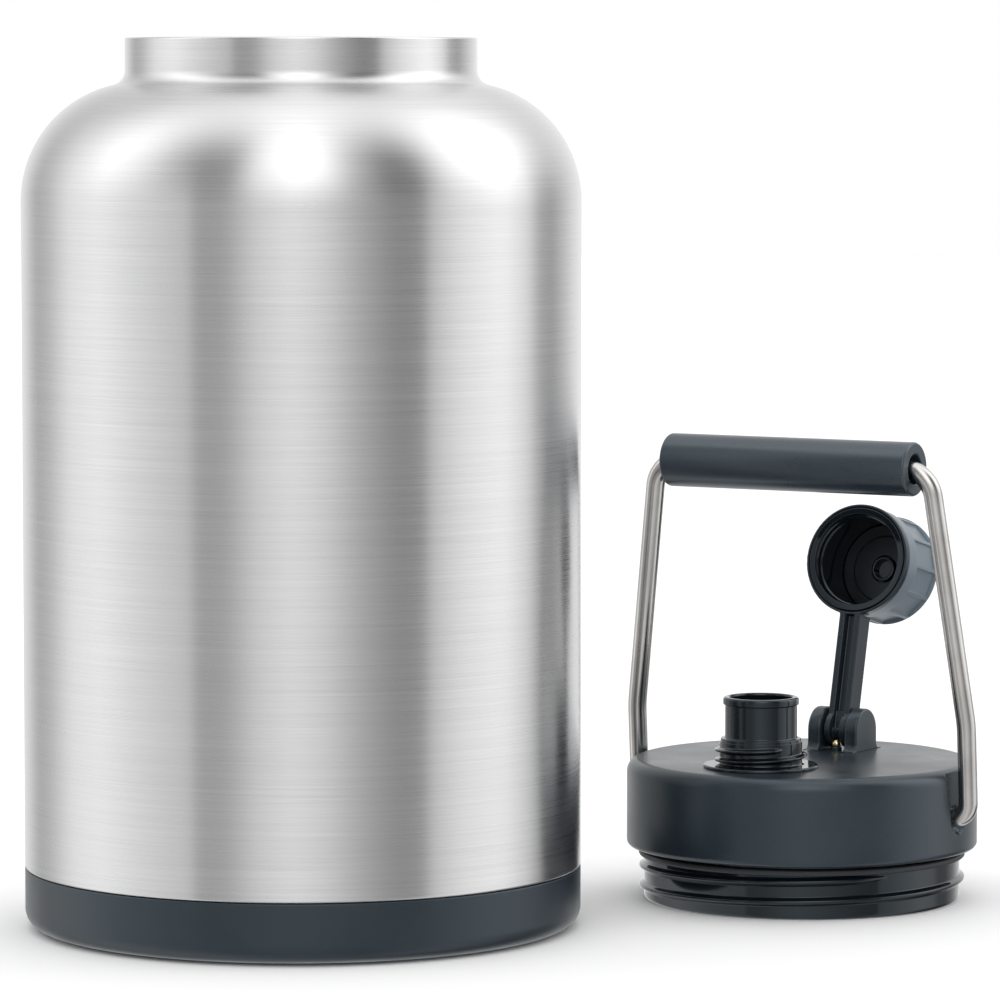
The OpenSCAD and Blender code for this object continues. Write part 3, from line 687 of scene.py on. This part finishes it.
# ---------------------------------------------------------------- bail and grip
def bail():
    """The wire, bent from one foot in the cap's slot over the top to the other."""
    foot, top, knee, top_half = 5.0, 9.5, 40.0, 38.5
    slope = math.radians(LEG_SLOPE)
    top_c = BAIL_H - top
    start = (top_half + top * math.cos(slope), top_c + top * math.sin(slope))
    knee_x = LEG_X - knee * (1 - math.cos(slope))
    upper = (knee_x - start[0]) / math.sin(slope)
    knee_z = start[1] - upper * math.cos(slope) - knee * math.sin(slope)
    right = [(46.0, 0.0), (51.0, 0.0)] + arc(LEG_X - foot, foot, foot, -90, 0, 16)
    right += [(LEG_X, foot + (knee_z - foot) * i / 8) for i in range(1, 8)]
    right += arc(LEG_X - knee, knee_z, knee, 0, LEG_SLOPE, 6)
    right += arc(top_half, top_c, top, LEG_SLOPE, 90, 24) + [(20.0, BAIL_H)]
    line = right + [(-x, z) for x, z in reversed(right)]
    verts, faces, sides = [], [], 48
    for i, (x, z) in enumerate(line):
        a, b = Vector(line[max(i - 1, 0)]), Vector(line[min(i + 1, len(line) - 1)])
        t = (b - a).normalized()
        for k in range(sides):
            w = 2 * math.pi * k / sides
            c, s = WIRE_R * math.cos(w), WIRE_R * math.sin(w)
            verts.append((x - t.y * c, s, z + t.x * c))
    for i in range(len(line) - 1):
        for k in range(sides):
            j = (k + 1) % sides
            faces.append([i * sides + k, i * sides + j, (i + 1) * sides + j, (i + 1) * sides + k])
    faces += [list(range(sides)), list(range((len(line) - 1) * sides, len(line) * sides))]
    piece("bail_rod", (verts, faces), BAIL, WIRE, "bail", "wire_steel", "bail_wire")


def grip():
    """The sleeve on the bail's top, with a wider mouth at each end."""
    end, wide, bore = 5.5, WIRE_R + 1.6, WIRE_R + 0.05
    outline = rounded([(wide, 0, 0.5), (GRIP_R, 0, 0.8), (GRIP_R, GRIP_L, 0.8), (wide, GRIP_L, 0.5),
                       (wide, GRIP_L - end), (bore, GRIP_L - end), (bore, end), (wide, end)], n=8)
    piece("grip_sleeve", lathe(supported(outline), 128), GRIP, GRIP_BLACK, "grip", "grip_black", "grip_tube")


outer_shell()
inner_liner()
base()
lid_cap()
hinge_ears()
lid_plug()
spout()
cap_arm()
spout_cap()
bail()
grip()

for name, look in {"vacuum_base_plate": PRESSED_STEEL, "vacuum_seal": SILICONE, "getter": PRESSED_STEEL,
                   "lid_foam": FOAM, "spout_gasket": GASKET, "detent_ball": BRASS,
                   "detent_spring": PIN_STEEL}.items():
    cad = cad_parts[name]
    cad.data.materials.clear()
    cad.data.materials.append(look)

# ---------------------------------------------------------------- floor, light and camera
floor_mesh = bpy.data.meshes.new("floor")
floor_verts, floor_faces = lathe([(0, 0), (400, 0), (6000, 0)], 96, closed=False)
floor_mesh.from_pydata([(x * MM, y * MM, -0.00002) for x, y, z in floor_verts], [], floor_faces)
floor = bpy.data.objects.new("floor", floor_mesh)
bpy.context.scene.collection.objects.link(floor)
pale = material("pale_floor", Base_Color=(0.93, 0.93, 0.93, 1), Roughness=0.8, Specular_IOR_Level=0.1)[0]
floor_mesh.materials.append(pale)
floor.visible_glossy = False

# Brightness of the studio by bearing, in degrees from the camera to the right: level, above and below
LEVEL = [(-180, 1.05), (-152, 0.9), (-137, 0.62), (-124, 0.8), (-108, 1.3), (-90, 1.38), (-72, 1.12),
         (-50, 0.95), (-44, 0.93), (-43, 0.53), (-30, 0.55), (-16, 0.95), (-3, 1.06), (10, 0.86),
         (27, 0.6), (42, 0.36), (54, 0.37), (55, 0.8), (74, 1.22), (94, 1.7), (108, 1.4), (116, 0.7),
         (126, 0.55), (136, 0.8), (150, 1.0)]
ABOVE = [(-180, 1.0), (-140, 0.8), (-112, 1.5), (-93, 2.3), (-75, 1.5), (-60, 0.7), (-46, 0.25),
         (-30, 0.32), (-18, 1.7), (0, 2.6), (12, 2.2), (25, 0.9), (40, 0.14), (52, 0.06), (58, 0.3),
         (70, 1.6), (95, 2.8), (120, 2.0), (140, 1.2)]
BELOW = [(-180, 1.0), (-152, 0.8), (-136, 0.5), (-122, 0.8), (-105, 1.25), (-88, 1.25), (-70, 1.05),
         (-45, 0.9), (-43, 0.55), (-20, 0.8), (-4, 0.92), (12, 0.8), (30, 0.6), (54, 0.45), (55, 0.82),
         (74, 1.15), (90, 1.0), (103, 0.45), (114, 0.1), (130, 0.08), (140, 0.3), (152, 0.9)]

world = bpy.data.worlds.new("studio")
bpy.context.scene.world = world
world.use_nodes = True
tree = world.node_tree
direction = tree.nodes.new("ShaderNodeTexCoord").outputs["Generated"]
xyz = node(tree, "ShaderNodeSeparateXYZ", {0: direction})
bearing = math_node(tree, "ARCTAN2", xyz.outputs[0], math_node(tree, "MULTIPLY", xyz.outputs[1], -1.0))
share = math_node(tree, "ADD", math_node(tree, "DIVIDE", bearing, 2 * math.pi), 0.5)


def bands(table):
    """The studio's brightness round the horizon, from a table."""
    ramp = node(tree, "ShaderNodeValToRGB", {"Fac": share})
    stops = ramp.color_ramp.elements
    stops.remove(stops[-1])
    for i, (degrees, level) in enumerate([*table, (180, table[0][1])]):
        stop = stops[0] if i == 0 else stops.new((degrees + 180) / 360)
        stop.position = (degrees + 180) / 360
        stop.color = (level, level, level, 1)
    return ramp.outputs["Color"]


def over(factor, under, colour):
    """One colour over another, by a factor."""
    mix = node(tree, "ShaderNodeMix", {"Factor": factor}, data_type="RGBA")
    for name, value in (("A", under), ("B", colour)):
        if isinstance(value, bpy.types.NodeSocket):
            tree.links.new(value, mix.inputs[name])
        else:
            mix.inputs[name].default_value = (value, value, value, 1)
    return mix.outputs["Result"]


def rising(lo, hi):
    """0 to 1 as the direction rises between two heights."""
    return spread(tree, xyz.outputs[2], 0.0, 1.0, lo, hi)


studio = over(rising(0.12, 0.5), bands(LEVEL), bands(ABOVE))
studio = over(rising(-0.04, -0.3), studio, bands(BELOW))
studio = over(rising(0.75, 0.97), studio, 1.7)
path = tree.nodes.new("ShaderNodeLightPath")
studio = over(path.outputs["Is Diffuse Ray"], studio, 1.16)
studio = over(path.outputs["Is Camera Ray"], studio, 1.0)
tree.links.new(studio, tree.nodes["Background"].inputs["Color"])

scene = bpy.context.scene
scene.view_settings.view_transform = "Standard"

PITCH, DISTANCE, AIM_Z, AIM_X = 4.4, 1644.0, 126.6, 58.5
FOCAL_LENGTH, SENSOR_WIDTH = 200.5, 36.0
lens = bpy.data.cameras.new("camera")
lens.lens, lens.sensor_width = FOCAL_LENGTH, SENSOR_WIDTH
lens.clip_start, lens.clip_end = 0.05, 50
camera = bpy.data.objects.new("camera", lens)
bpy.context.scene.collection.objects.link(camera)
camera_z = AIM_Z + DISTANCE * math.tan(math.radians(PITCH))
camera.location = (AIM_X * MM, -DISTANCE * MM, camera_z * MM)
camera.rotation_euler = (math.radians(90 - PITCH), 0, 0)
scene.camera = camera
